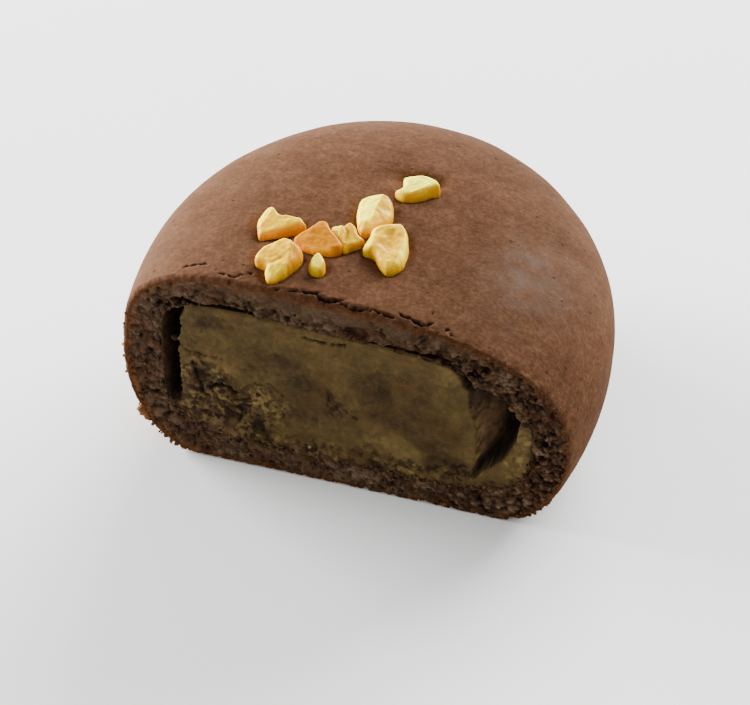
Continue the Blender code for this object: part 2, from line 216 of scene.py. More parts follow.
# Single loose crumbs, as (x, back from the cut, z, radius, tone): the nub at the lower left, beads up the
# left edge, and crumbs in the slot, on the paste and in the hollow
SINGLE_CRUMBS = (
    (-22.8, 0.4, 4.55, 0.72, 0.72), (-22.3, 0.4, 3.8, 0.5, 0.64), (-24.45, 0.5, 9.4, 0.17, 0.95),
    (-24.6, 0.5, 11.6, 0.17, 0.95), (-24.55, 0.5, 13.2, 0.17, 0.95), (-24.2, 0.5, 15.6, 0.17, 0.95),
    (-18.5, 0.6, 15.6, 0.36, 0.3), (-18.2, 0.9, 15.3, 0.30, 0.25), (-3.7, 0.15, 4.5, 0.2, 1.0),
    (18.2, 0.4, 15.5, 0.30, 0.5), (18.7, 0.5, 15.1, 0.26, 0.45),
)

# Zones of the filling's face, as (x, z, half width, half height)
TORN_ZONES = (
    (-14.5, 8.5, 3.6, 4.2), (-9.0, 8.0, 3.0, 3.5), (-0.8, 10.8, 0.9, 2.0), (2.0, 4.2, 16.0, 1.7),
    (12.5, 5.6, 1.6, 1.2), (17.0, 4.4, 3.5, 0.9), (-16.6, 12.0, 1.2, 3.0), (-18.2, 5.8, 2.2, 1.8),
)
HEAP_ZONES = ((19.0, 10.2, 1.5, 3.0), (18.6, 7.6, 1.2, 1.6))
DARK_ZONES = (
    (5.5, 13.5, 4.5, 4.0), (-4.0, 11.5, 3.2, 3.6), (9.5, 10.0, 3.0, 2.6), (-7.0, 15.2, 3.0, 1.4),
    (10.5, 6.4, 2.6, 1.1), (-14.2, 18.8, 2.8, 1.0),
)
COCOA_ZONES = ((-14.8, 5.4, 5.0, 2.7), (-16.3, 11.0, 1.5, 2.6), (-2.0, 3.4, 8.0, 0.7), (16.4, 5.2, 1.4, 0.6))
LIGHT_ZONES = (
    (11.2, 18.0, 1.8, 1.2), (-13.0, 12.5, 2.2, 1.2), (8.5, 3.9, 2.6, 0.7),
    (-8.5, 9.0, 2.2, 2.0), (5.0, 7.0, 3.5, 1.4),
)

# Floor and lights, in metres and watts; a light's row is its name, place, size and power
FLOOR_HALF = 3.0
FLOOR_DROP = 0.00002
SURROUND_STRENGTH = 0.76
LIGHT_TARGET = (0.0, 0.0, 0.01)
LIGHTS = (("left", (-0.73, 0.14, 0.115), (0.5, 0.3), 44.0), ("back", (0.18, 0.77, 0.34), (0.9, 0.3), 37.0))

# Camera: angles in degrees, its target and its distance from it, and the lens
CAMERA_AZIMUTH = 18.42
CAMERA_ELEVATION = 40.34
CAMERA_ROLL = -0.61
CAMERA_TARGET = (0.41, 2.256, 10.714)
CAMERA_DISTANCE = 267.86
CAMERA_LENS = 120.3
SENSOR_WIDTH = 36.0


def unit(values):
    """The values, held between 0 and 1."""
    return np.clip(values, 0, 1)


def inside_bun(points):
    """Which points lie inside the whole bun."""
    x, y, z = points.T
    z = z / (1 + SIDE_TILT * x / HALF_WIDTH)
    rise = unit((z - WIDEST_HEIGHT) / (HEIGHT - WIDEST_HEIGHT))
    fall = unit((WIDEST_HEIGHT - z) / WIDEST_HEIGHT)
    across = x - TOP_LEAN[0] * rise
    along = (y - TOP_LEAN[1] * rise) / LENGTH_RATIO
    heading = np.arctan2(along, across)
    cosine = np.cos(heading)
    sine = np.sin(heading)
    plan = (np.abs(cosine) ** PLAN_EXPONENT + np.abs(sine) ** PLAN_EXPONENT) ** (-1 / PLAN_EXPONENT)
    plan *= 1 + THREE_LOBES * np.sin(3 * heading) + FOUR_LOBES * np.cos(4 * heading)
    shoulder = SHOULDER + SHOULDER_RIGHT * cosine + SHOULDER_BACK * sine
    upper = HALF_WIDTH * (1 - rise ** shoulder) ** (1 / shoulder)
    lower = BASE_HALF_WIDTH + (HALF_WIDTH - BASE_HALF_WIDTH) * (1 - fall ** UNDERSIDE) ** (1 / UNDERSIDE)
    radius = np.where(z >= WIDEST_HEIGHT, upper, lower)
    return (np.hypot(across, along) < radius * plan) & (z > 0) & (z < HEIGHT)


def inside_cavity(points, margin=0.0):
    """Which points lie inside the cavity that holds the filling, drawn in by a margin."""
    tilt = 1 + SIDE_TILT * points[:, 0] / HALF_WIDTH
    x = (points[:, 0] - CAVITY_CENTRE[0]) / (CAVITY_HALF[0] - margin)
    y = (points[:, 1] - CAVITY_CENTRE[1]) / (CAVITY_HALF[1] - margin)
    z = (points[:, 2] / tilt - CAVITY_CENTRE[2]) / (CAVITY_HALF[2] - margin)
    plan = np.abs(x) ** CAVITY_PLAN_EXPONENT + np.abs(y) ** CAVITY_PLAN_EXPONENT
    plan = np.minimum(plan, 1.0) ** (1 / CAVITY_PLAN_EXPONENT)
    corner = CAVITY_CORNER + CAVITY_CORNER_RIGHT * np.clip(x, -1, 1) * (1 + np.clip(z, -1, 1))
    return (plan ** corner + np.minimum(np.abs(z), 2.0) ** corner < 1) & (plan < 1)


def inside_filling(points):
    """Which points lie inside the paste: it laps under the crumb at its face and is clear of it behind."""
    behind = unit((points[:, 1] - CUT_Y) / 1.5)
    return inside_cavity(points, 0.5 * behind - 0.35)


def cast(inside, starts, directions):
    """Distance from each start to the surface along its direction, found by halving."""
    near = np.zeros(len(directions))
    far = np.full(len(directions), REACH)
    for _ in range(HALVINGS):
        middle = (near + far) / 2
        hit = inside(starts + middle[:, None] * directions)
        near = np.where(hit, middle, near)
        far = np.where(hit, far, middle)
    return near


def face_grid():
    """Shares across and up of the cut face's grid, and the grid places that go round its edge."""
    across, up = np.meshgrid(np.linspace(-1, 1, FACE_ACROSS + 1), np.linspace(-1, 1, FACE_UP + 1))
    index = np.arange(across.size).reshape(across.shape)
    edge = np.concatenate([index[0, :-1], index[:-1, -1], index[-1, :0:-1], index[:0:-1, 0]])
    return across.ravel(), up.ravel(), edge


def edge_angles():
    """The angles round the centre at which the face grid's edge points lie."""
    across, up, edge = face_grid()
    return np.arctan2(up[edge] * CAVITY_HALF[2], across[edge] * CAVITY_HALF[0])


ANGLES = edge_angles()
COLUMNS = len(ANGLES)


def flat_rays(angles):
    """Directions in the plane of the cut."""
    return np.column_stack([np.cos(angles), np.zeros(len(angles)), np.sin(angles)])


def surface_rows(inside, straight, fan, length):
    """Rows of points on a surface: first in planes at the straight depths, then a fan round to the back."""
    rows = []
    flat = flat_rays(ANGLES)
    for depth in straight:
        start = CENTRE + (0.0, depth, 0.0)
        rows.append(start + flat * cast(inside, start, flat)[:, None])
    start = CENTRE + (0.0, straight[-1], 0.0)
    ratio = (length - straight[-1]) / HALF_WIDTH
    for step in range(1, fan):
        back = math.atan(ratio * math.tan(step / fan * math.pi / 2))
        rays = flat * math.cos(back) + (0.0, math.sin(back), 0.0)
        rows.append(start + rays * cast(inside, start, rays)[:, None])
    back_ray = np.array([(0.0, 1.0, 0.0)])
    pole = start + back_ray * cast(inside, start, back_ray)[:, None]
    return np.array(rows), pole[0]


def growing_steps(first, growth, reach):
    """Depths from 0 to the reach, each step longer than the last."""
    steps = [0.0]
    step = first
    while steps[-1] + step < reach:
        steps.append(steps[-1] + step)
        step *= growth
    return np.array(steps + [reach])


def soft(points, size, place):
    """Smooth noise from -1 to 1 at each point, its swells about as wide as the size."""
    return np.array([noise.noise(Vector(point) / size + Vector((place, place, place))) for point in points])


def drift(points, *swells):
    """Columns of smooth noise at the points, one for each swell's (size, place)."""
    return np.column_stack([soft(points, size, place) for size, place in swells])


def grains(points, size, place):
    """Rounded grains packed at the points: height of each point on its grain, and the grain's own tone."""
    shift = Vector((place, place, place))
    heights = np.empty(len(points))
    tones = np.empty(len(points))
    for index, point in enumerate(points):
        distances, centres = noise.voronoi(Vector(point) / size + shift)
        heights[index] = 1 - 1.5 * distances[0] ** 2
        tones[index] = noise.cell(centres[0] * 9.7)
    return heights, tones


def away_from_stroke(places, stroke):
    """Distance from each place to a stroke, a line through a few points."""
    nearest = np.full(len(places), 1e9)
    for start, end in zip(stroke[:-1], stroke[1:]):
        start = np.array(start)
        along = np.array(end) - start
        share = unit(((places - start) @ along) / (along @ along))
        nearest = np.minimum(nearest, np.linalg.norm(places - start - share[:, None] * along, axis=1))
    return nearest


def on_stroke(places, stroke, width):
    """1 on a stroke, falling off smoothly to about a third at its width."""
    return np.exp(-(away_from_stroke(places, stroke) / width) ** 2)


def stroke_depth(places, strokes, points):
    """Depth that ragged strokes cut at each place."""
    near = np.zeros(len(places), bool)
    for stroke, width, _ in strokes:
        near |= away_from_stroke(places, stroke) < width * 4 + 0.5
    ragged = places[near].copy()
    ragged[:, 0] += 0.15 * soft(points[near], 0.45, 3.0)
    ragged[:, 1] += 0.20 * soft(points[near], 0.4, 5.0) + 0.1 * soft(points[near], 0.2, 7.0)
    broken = np.clip(0.8 + 1.7 * soft(points[near], 0.55, 9.0), 0.0, 1.2)
    cut = np.zeros(len(ragged))
    for stroke, width, depth in strokes:
        cut = np.maximum(cut, depth * broken * on_stroke(ragged, stroke, width))
    depths = np.zeros(len(places))
    depths[near] = cut
    return depths


def off_centre(places, x, y, half_width, half_height):
    """How far places lie off a centre, squared: 1 on the oval of the half width and half height."""
    return ((places[:, 0] - x) / half_width) ** 2 + ((places[:, 1] - y) / half_height) ** 2


def smooth_loop(corners, count):
    """Points evenly along a closed curve that passes through the corners, a Catmull-Rom spline."""
    curve = []
    for index in range(len(corners)):
        around = [corners[(index + turn) % len(corners)] for turn in (-1, 0, 1, 2)]
        before, start, end, beyond = map(Vector, around)
        for share in np.linspace(0, 1, CURVE_STEPS, endpoint=False):
            bend = 2 * before - 5 * start + 4 * end - beyond
            twist = 3 * (start - end) + beyond - before
            curve.append((2 * start + (end - before) * share + bend * share ** 2 + twist * share ** 3) / 2)
    closed = np.array(curve + curve[:1])
    walked = np.concatenate([[0.0], np.cumsum(np.linalg.norm(np.diff(closed, axis=0), axis=1))])
    at = np.arange(count) * walked[-1] / count
    return np.stack([np.interp(at, walked, closed[:, 0]), np.interp(at, walked, closed[:, 1])], axis=1)


def closed_stroke(outline):
    """A stroke along an outline and back to its first point."""
    return [tuple(point) for point in outline] + [tuple(outline[0])]


def dent(points):
    """Points of the skin with the bun's dents pressed into its upper half."""
    pressed = points.copy()
    upper = points[:, 2] > WIDEST_HEIGHT
    for x, y, radius, depth in DENTS:
        away = np.hypot(points[:, 0] - x, points[:, 1] - y) / radius
        pressed[:, 2] -= np.where(upper, depth * np.exp(-away ** 2), 0.0)
    return pressed


def skin_height(places):
    """Height of the bun's skin over (x, y) places near its top."""
    start = np.column_stack([places, np.full(len(places), WIDEST_HEIGHT)])
    up = np.tile((0.0, 0.0, 1.0), (len(places), 1))
    return WIDEST_HEIGHT + cast(inside_bun, start, up)


def strip_faces(rows, columns, first=0):
    """Quads between neighbouring rows of a closed band of points."""
    index = first + np.arange(rows * columns).reshape(rows, columns)
    a = index[:-1]
    b = np.roll(index, -1, axis=1)[:-1]
    c = np.roll(index, -1, axis=1)[1:]
    d = index[1:]
    return np.stack([a, b, c, d], axis=-1).reshape(-1, 4)


def pole_faces(ring, pole, outward):
    """Triangles that close a ring of point numbers with one point."""
    following = np.roll(ring, -1)
    faces = np.stack([ring, following, np.full(len(ring), pole)], axis=1)
    return faces if outward else faces[:, ::-1]


def make_piece(name, points, faces, attributes, materials, face_materials=None):
    """A mesh object from points in millimetres of the bun's own frame."""
    data = bpy.data.meshes.new(name)
    data.from_pydata((np.asarray(points) * MM + OFFSET).tolist(), [], faces)
    for key, values in attributes.items():
        made = data.attributes.new(key, "FLOAT", "POINT")
        made.data.foreach_set("value", np.asarray(values, np.float32))
    for finish in materials:
        data.materials.append(finish)
    if face_materials is not None:
        data.polygons.foreach_set("material_index", face_materials)
    data.shade_smooth()
    data.update()
    piece = bpy.data.objects.new(name, data)
    bpy.context.scene.collection.objects.link(piece)
    return piece


# ---- materials


class Nodes:
    """Short calls for building one material's node tree."""

    def __init__(self, name, roughness, specular, **constants):
        self.material = bpy.data.materials.new(name)
        self.material.use_nodes = True
        self.tree = self.material.node_tree
        self.shader = self.tree.nodes["Principled BSDF"]
        for key, value in {"Roughness": roughness, "Specular IOR Level": specular, **constants}.items():
            self.shader.inputs[key.replace("_", " ")].default_value = value
        self.place = self.tree.nodes.new("ShaderNodeTexCoord").outputs["Object"]

    def join(self, source, socket):
        """Sets a socket to a constant, or links another node's output to it."""
        if isinstance(source, (int, float, tuple)):
            socket.default_value = source
        else:
            self.tree.links.new(source, socket)

    def add(self, kind, output, settings=(), **values):
        """A new node's output, after its settings, and its inputs set or joined by name."""
        node = self.tree.nodes.new("ShaderNode" + kind)
        for key, value in settings:
            setattr(node, key, value)
        for key, value in values.items():
            self.join(value, node.inputs[key.replace("_", " ")])
        return node.outputs[output]

    def noise(self, size, detail=3.0, roughness=0.55, stretch=None):
        """Noise from 0 to 1 with swells about as wide as the size, in millimetres."""
        place = self.add("Mapping", "Vector", Vector=self.place, Scale=stretch) if stretch else self.place
        scale = 1 / (size * MM)
        return self.add("TexNoise", "Fac", Vector=place, Scale=scale, Detail=detail, Roughness=roughness)

    def cells(self, size):
        """Distance to the nearest of many scattered points, in sizes."""
        return self.add("TexVoronoi", "Distance", Vector=self.place, Scale=1 / (size * MM))

    def attribute(self, name):
        """The value of a mesh attribute."""
        return self.add("Attribute", "Fac", [("attribute_name", name)])

    def between(self, value, low, high):
        """0 where the value is under low, 1 where it is over high, and smooth between."""
        smooth = [("interpolation_type", "SMOOTHSTEP")]
        return self.add("MapRange", "Result", smooth, Value=value, From_Min=low, From_Max=high)

    def math(self, operation, a, b):
        """Two values joined by an operation."""
        result = self.add("Math", "Value", [("operation", operation)])
        for source, socket in zip((a, b), result.node.inputs):
            self.join(source, socket)
        return result

    def times(self, a, b):
        return self.math("MULTIPLY", a, b)

    def plus(self, a, b):
        return self.math("ADD", a, b)

    def weighted(self, *parts):
        """The sum of parts of (value, weight)."""
        total, *products = [self.times(value, weight) for value, weight in parts]
        for product in products:
            total = self.plus(total, product)
        return total

    def ramp(self, value, *stops):
        """Colour along stops of (position, colour)."""
        node = self.tree.nodes.new("ShaderNodeValToRGB")
        elements = node.color_ramp.elements
        while len(elements) < len(stops):
            elements.new(0.5)
        for element, (position, colour) in zip(elements, stops):
            element.position = position
            element.color = (*colour, 1.0)
        self.join(value, node.inputs["Fac"])
        return node.outputs["Color"]

    def mix(self, factor, base, top):
        """A base colour with a share of another over it."""
        top = (*top, 1.0) if isinstance(top, tuple) else top
        return self.add("Mix", "Result", [("data_type", "RGBA")], Factor=factor, A=base, B=top)

    def bump(self, height, distance, strength):
        """Bump from a height of 0 to 1, its distance in millimetres."""
        return self.add("Bump", "Normal", Height=height, Distance=distance * MM, Strength=strength)

    def finish(self, **drivers):
        """The material, with what drives its colour, roughness and normal joined."""
        for key, source in drivers.items():
            self.join(source, self.shader.inputs[key.replace("_", " ")])
        return self.material


def skin_material():
    """Soft matt cocoa skin: fine grain, small pores, browner at the cut edge and dark in the cracks."""
    n = Nodes("cocoa_skin", roughness=0.85, specular=0.015)
    grain = n.noise(0.42, roughness=0.62)
    tone = n.weighted((n.noise(4.0, detail=4), 0.28), (grain, 0.62), (n.noise(1.1, detail=2), 0.32))
    colour = n.ramp(
        tone,
        (0.43, (0.048, 0.0196, 0.0084)),
        (0.61, (0.074, 0.0328, 0.0155)),
        (0.78, (0.108, 0.0520, 0.0265)),
    )
    fleck = n.between(n.noise(0.3, detail=2), 0.62, 0.75)
    colour = n.mix(n.times(fleck, 0.25), colour, (0.1212, 0.0576, 0.0273))
    # Painted sheen: a pale colour mixed in on the left shoulder and the far edges in place of grazing light.
    colour = n.mix(n.times(n.attribute("painted_sheen"), 0.6), colour, (0.116, 0.0650, 0.0400))
    # Painted sheen patch: a pale grey highlight on the right shoulder, painted into the colour.
    colour = n.mix(n.attribute("sheen_patch"), colour, (0.102, 0.0770, 0.0630))
    # Painted shade in the small pits of the pores, which the bump also sinks.
    pore = n.times(n.between(n.cells(1.7), 0.17, 0.08), n.between(n.noise(6.0), 0.50, 0.56))
    colour = n.mix(n.times(pore, 0.75), colour, (0.0364, 0.0152, 0.0091))
    rim = n.ramp(n.noise(0.3, detail=2), (0.38, (0.028, 0.0110, 0.0045)), (0.60, (0.068, 0.0235, 0.0070)))
    colour = n.mix(n.attribute("rim"), colour, rim)
    # Painted shade: the cracks turn near black as they deepen.
    colour = n.mix(n.attribute("crack"), colour, (0.0133, 0.0061, 0.0036))
    roughness = n.plus(0.76, n.times(grain, 0.16))
    height = n.math("SUBTRACT", n.plus(grain, n.times(n.noise(0.16, detail=2), 0.5)), pore)
    return n.finish(Base_Color=colour, Roughness=roughness, Normal=n.bump(height, 0.06, 0.7))


def crumb_material():
    """Dark crumb of the cut dough: near black in its pores, red-brown to grey-brown on its grains."""
    n = Nodes("cut_crumb", roughness=0.8, specular=0.03)
    fine = n.noise(0.22, roughness=0.7)
    # Lift paints shade into the crumb's pores and pits and light onto its raised grains.
    tone = n.weighted((n.attribute("lift"), 0.50), (fine, 0.26), (n.attribute("tone"), 0.24))
    colour = n.ramp(
        tone,
        (0.24, (0.0050, 0.0027, 0.0015)),
        (0.36, (0.0262, 0.0136, 0.0071)),
        (0.48, (0.0560, 0.0330, 0.0186)),
        (0.60, (0.1010, 0.0650, 0.0385)),
        (0.72, (0.1680, 0.1150, 0.0745)),
    )
    patch = n.between(n.noise(2.4), 0.40, 0.65)
    colour = n.mix(n.times(patch, 0.36), colour, (0.0620, 0.0260, 0.0120))
    colour = n.mix(n.attribute("rim"), colour, (0.165, 0.058, 0.015))
    stain = n.times(n.attribute("olive"), n.between(tone, 0.4, 0.55))
    colour = n.mix(stain, colour, (0.0909, 0.0545, 0.0133))
    return n.finish(Base_Color=colour, Normal=n.bump(n.noise(0.16, detail=2), 0.07, 0.8))


def loose_crumb_material():
    """Loose crumbs: dark, red-brown or pale by crumb, with a rough surface."""
    n = Nodes("loose_crumb", roughness=0.8, specular=0.08)
    fine = n.noise(0.15)
    colour = n.ramp(
        n.weighted((n.attribute("tone"), 0.75), (fine, 0.25)),
        (0.15, (0.0152, 0.0073, 0.0036)),
        (0.40, (0.0485, 0.0255, 0.0133)),
        (0.56, (0.090, 0.042, 0.019)),
        (0.70, (0.190, 0.075, 0.024)),
        (0.86, (0.210, 0.140, 0.073)),
    )
    return n.finish(Base_Color=colour, Normal=n.bump(fine, 0.05, 0.8))


def filling_material():
    """Dense bean paste: olive brown, darker where smeared, with paler torn crumbs and a fine sandy grain."""
    n = Nodes("bean_paste", roughness=0.7, specular=0.03)
    sand = n.noise(0.20, roughness=0.7)
    streak = n.noise(1.4, detail=4, stretch=(0.5, 1.0, 1.2))
    tone = n.weighted((n.attribute("tone"), 0.62), (sand, 0.24), (streak, 0.14))
    colour = n.ramp(
        tone,
        (0.16, (0.0100, 0.0051, 0.0022)),
        (0.34, (0.0363, 0.0218, 0.0095)),
        (0.50, (0.0665, 0.0430, 0.0156)),
        (0.66, (0.1130, 0.0755, 0.0250)),
        (0.84, (0.1920, 0.1330, 0.0470)),
    )
    rust = n.times(n.between(n.noise(3.2), 0.50, 0.66), 0.24)
    colour = n.mix(rust, colour, (0.098, 0.0520, 0.0150))
    dough = n.ramp(
        tone,
        (0.22, (0.019, 0.0100, 0.0050)),
        (0.42, (0.052, 0.0270, 0.0140)),
        (0.62, (0.105, 0.0580, 0.0300)),
    )
    colour = n.mix(n.times(n.attribute("cocoa"), 0.9), colour, dough)
    # Painted shade: the tears turn near black as they deepen.
    colour = n.mix(n.attribute("tear"), colour, (0.0120, 0.0090, 0.0070))
    # Painted shade: the inside of the slot and the hollow turns near black.
    colour = n.mix(n.attribute("pit"), colour, (0.0320, 0.0225, 0.0165))
    roughness = n.plus(0.5, n.times(sand, 0.25))
    return n.finish(Base_Color=colour, Roughness=roughness, Normal=n.bump(sand, 0.08, 0.8))


def nut_material(name, dark, middle, light):
    """Roasted nut with an oily gloss: paler ridges, darker hollows and a warm glow inside."""
    n = Nodes(
        name, roughness=0.28, specular=0.06,
        Subsurface_Weight=0.12, Subsurface_Radius=(1.0, 0.55, 0.1), Subsurface_Scale=0.0006,
    )
    tone = n.weighted((n.attribute("tone"), 0.56), (n.noise(2.0), 0.22), (n.noise(0.3), 0.22))
    colour = n.ramp(tone, (0.26, dark), (0.5, middle), (0.76, light))
    return n.finish(Base_Color=colour, Normal=n.bump(n.noise(0.35), 0.05, 0.6))


# ---- the dough


def crumb_relief(points, rough):
    """Height in mm and tone of torn crumb on the cut ring: grains of two sizes with pores between."""
    warped = points + 0.25 * drift(points, (0.8, 11.0), (0.8, 17.0), (0.8, 23.0))
    clumps, clump_tones = grains(warped, 0.9, 2.0)
    crumbs, crumb_tones = grains(warped, 0.42, 4.0)
    swell = soft(points, 3.5, 7.0)
    pores = unit(soft(warped, 0.62, 9.0) - 0.16)
    height = rough * (0.24 * (clumps - 0.6) + 0.17 * (crumbs - 0.6) - 0.80 * pores) + 0.14 * swell
    tone = 0.5 + rough * (0.30 * (clump_tones - 0.5) + 0.35 * (crumb_tones - 0.5))
    return height, tone


def rim_round():
    """Radius of the cut's rounded edge at each column: soft at the upper left, sharp at the right."""
    top = unit(np.sin(ANGLES)) ** 2
    left = 0.5 - 0.5 * np.cos(ANGLES)
    return RIM_RADIUS * (0.25 + 1.0 * top * (0.3 + 0.7 * left) + 0.3 * left)


def rim_ragged(rim):
    """How far each column of the cut edge is broken back, in mm."""
    fine = np.clip(soft(rim, 0.7, 31.0), -0.2, 1) + 0.6 * np.clip(soft(rim, 0.33, 37.0), -0.2, 1)
    under = unit(-np.sin(ANGLES) + 0.1) ** 0.5
    right = unit(np.cos(ANGLES) + 0.2)
    broad = unit(soft(rim, 1.6, 39.0))
    return np.clip(fine + 0.7 * broad, 0, 1.3) * (0.15 + 1.1 * right + 0.5 * under)


def curl_rim(skin, depths):
    """Draws the rows of skin near the cut inward, to a rounded and crumbly edge."""
    rim = skin[0].copy()
    radius = rim_round()
    ragged = rim_ragged(rim)
    inward = CENTRE - rim
    inward /= np.linalg.norm(inward, axis=1)[:, None]
    for row, depth in enumerate(depths):
        curl = radius - np.sqrt(np.maximum(radius ** 2 - np.clip(radius - depth, 0, None) ** 2, 0))
        crumbly = 0.0
        if depth < CRUMBLY_DEPTH:
            crumbly = 0.10 * soft(skin[row], 0.5, 35.0) + 0.07 * soft(skin[row], 0.28, 45.0)
            crumbly *= 1 - depth / CRUMBLY_DEPTH
        curl = curl + ragged * math.exp(-depth / RAGGED_DEPTH) + crumbly
        skin[row] += inward * curl[:, None]


def nut_dimples(points):
    """How far the skin sinks round each nut and behind the last one, as negative heights."""
    sink = np.zeros(len(points))
    upper = points[:, 2] > WIDEST_HEIGHT
    for x, y, _, _, corners, _ in NUTS:
        outline = smooth_loop(corners, 24) + (x, y)
        close = upper & (np.hypot(points[:, 0] - x, points[:, 1] - y) < 6)
        round_nut = on_stroke(points[close][:, :2], closed_stroke(outline), 0.5)
        sink[close] = np.minimum(sink[close], -0.38 * round_nut)
    close = upper & (np.hypot(points[:, 0] - 1.5, points[:, 1] - 14.5) < 7)
    sink[close] -= 0.8 * on_stroke(points[close][:, :2], LAST_NUT_SEAT, 0.75)
    return sink


def shape_skin(skin, depths):
    """Points of the skin with its edge, swells, dents, dimples and cracks, and the cracks' depth at each."""
    curl_rim(skin, depths)
    skin = skin.reshape(-1, 3)
    lying = skin[:, 2] < 0.02
    skin = dent(skin)
    skin[:, 2] += np.where(skin[:, 2] > 6, 0.12 * soft(skin, 6.0, 41.0) + 0.03 * soft(skin, 1.6, 43.0), 0.0)
    skin[:, 2] += nut_dimples(skin)
    top = (skin[:, 2] > WIDEST_HEIGHT) & (skin[:, 1] < 4)
    crack = np.zeros(len(skin))
    crack[top] = stroke_depth(skin[top][:, :2], SKIN_CRACKS, skin[top])
    along = unit((skin[:, 0] + 9) / 2) * unit((11 - skin[:, 0]) / 2)
    lip = unit((CUT_Y + 1.0 - skin[:, 1]) / 0.5) * along * top
    skin[:, 2] -= crack + 0.12 * lip
    skin[lying, 2] = 0.0
    return skin, crack


def sheen_patch_share(points):
    """How grey the skin is in the sheen patch on its right shoulder, a painted highlight."""
    patch = np.exp(-off_centre(points, *SHEEN_PATCH))
    patch *= 0.38 + 0.45 * soft(points, 1.6, 91.0)
    return unit(patch * (points[:, 2] > WIDEST_HEIGHT))


def painted_sheen_share(points):
    """Where painted sheen makes the skin paler: its left shoulder and its far edges."""
    left = unit((-points[:, 0] - 8) / 14) * 0.50
    far = unit((np.hypot(points[:, 0] - 2, points[:, 1] / LENGTH_RATIO) - 13) / 10) * 0.42
    far *= unit((points[:, 2] - 2) / 14) * unit((points[:, 1] + 2) / 10)
    edges = np.maximum(left, far) * (0.9 + 0.5 * soft(points, 3.0, 93.0))
    return unit(edges)


def skin_fields(skin, crack):
    """How much cut edge, crack, painted sheen and painted sheen patch shows at each point of the skin."""
    rows = len(skin) // COLUMNS
    reach = np.tile(1.4 * rim_round() - 0.1, rows)
    rim = np.clip(0.75 + 1.3 * soft(skin, 0.6, 55.0), 0.2, 1) * unit(1 - (skin[:, 1] - CUT_Y) / reach) ** 0.8
    rim *= np.tile(1 - 0.5 * unit(np.sin(ANGLES)), rows)
    return {"rim": rim, "crack": unit(crack / 0.2), "painted_sheen": painted_sheen_share(skin), "sheen_patch": sheen_patch_share(skin)}


def pit_depth(points):
    """Depth that the soft-edged pits cut at points of the cut ring."""
    ragged = points[:, [0, 2]] + 0.35 * drift(points, (1.1, 81.0), (0.9, 83.0))
    cut = np.zeros(len(points))
    for *oval, depth in CRUMB_PITS:
        cut = np.maximum(cut, depth * unit(1.4 - off_centre(ragged, *oval)))
    return cut


def cut_ring(outline, inner):
    """Points of the cut ring, row by row from the skin's edge to the cavity's, and their fields."""
    shares = np.linspace(0, 1, RING_ROWS + 2)[1:-1]
    ring = np.concatenate([outline + (inner - outline) * share for share in shares])
    ring[:, 1] = CUT_Y
    shares = np.repeat(shares, COLUMNS)
    heading = np.tile(ANGLES, RING_ROWS)
    upper = unit(np.sin(heading))
    under = unit(-np.sin(heading))
    right = unit(np.cos(heading))
    left = 0.5 - 0.5 * np.cos(heading)

    smeared = unit(np.sin(heading) * 1.2) ** 2 * unit(1.5 - shares * 2.0)
    smeared *= unit(0.95 + soft(ring, 2.5, 47.0))
    rough = (1 - 0.88 * smeared) * (0.9 + 0.3 * right - 0.22 * under)
    height, tone = crumb_relief(ring, rough)
    height *= np.clip(shares / 0.06, 0.2, 1)
    tone = 0.5 + (tone - 0.5) * (1 + 0.5 * right)
    tone += 0.24 * under - 0.08 * right ** 8
    tone += 0.28 * unit(np.cos(heading + 0.8)) ** 2 + 0.12 * unit(-np.cos(heading + 0.5)) ** 2
    pits = pit_depth(ring)
    sway = 0.16 * drift(ring, (0.8, 51.0), (0.8, 53.0))
    sway *= (unit(shares / 0.2) * rough)[:, None]
    ring[:, 0] += sway[:, 0]
    ring[:, 1] += FACE_SETBACK - height + pits
    ring[:, 2] = np.maximum(ring[:, 2] + sway[:, 1], 0.0)

    rim = unit(1 - shares / (0.06 + 0.12 * left)) * (0.2 + 0.8 * left)
    rim *= (1 - 0.6 * upper) * (1 - 0.5 * under) * unit(0.55 + 1.8 * soft(ring, 0.7, 49.0))
    # The lift field follows the relief: painted shade in the pores and pits, painted light on the raised
    # grains.
    lift = unit(0.5 + 0.9 * height - 0.5 * pits)
    olive = unit(soft(ring, 1.3, 71.0) * 1.6 + 3.0 * (shares - 0.88))
    olive *= np.where((ring[:, 0] > 8) | (ring[:, 2] < 5), 0.6, 0.2)
    return ring, {"rim": rim, "lift": lift, "tone": tone, "olive": olive}


def cavity_wall(rows):
    """Points of the dough's rough wall round the filling, and their fields."""
    walls = rows.reshape(-1, 3)
    # The wall's swells also lift its colour: painted light on them, painted shade between.
    lift = soft(walls, 1.3, 61.0) * 0.25 + soft(walls, 0.5, 67.0) * 0.15
    away = walls - CENTRE
    away[:, 1] = 0
    away /= np.maximum(np.linalg.norm(away, axis=1), 0.5)[:, None]
    walls = walls + away * (0.12 + lift)[:, None]
    walls[:COLUMNS, 1] += 0.25
    return walls, {"lift": 0.5 + lift, "tone": np.full(len(walls), 0.55)}


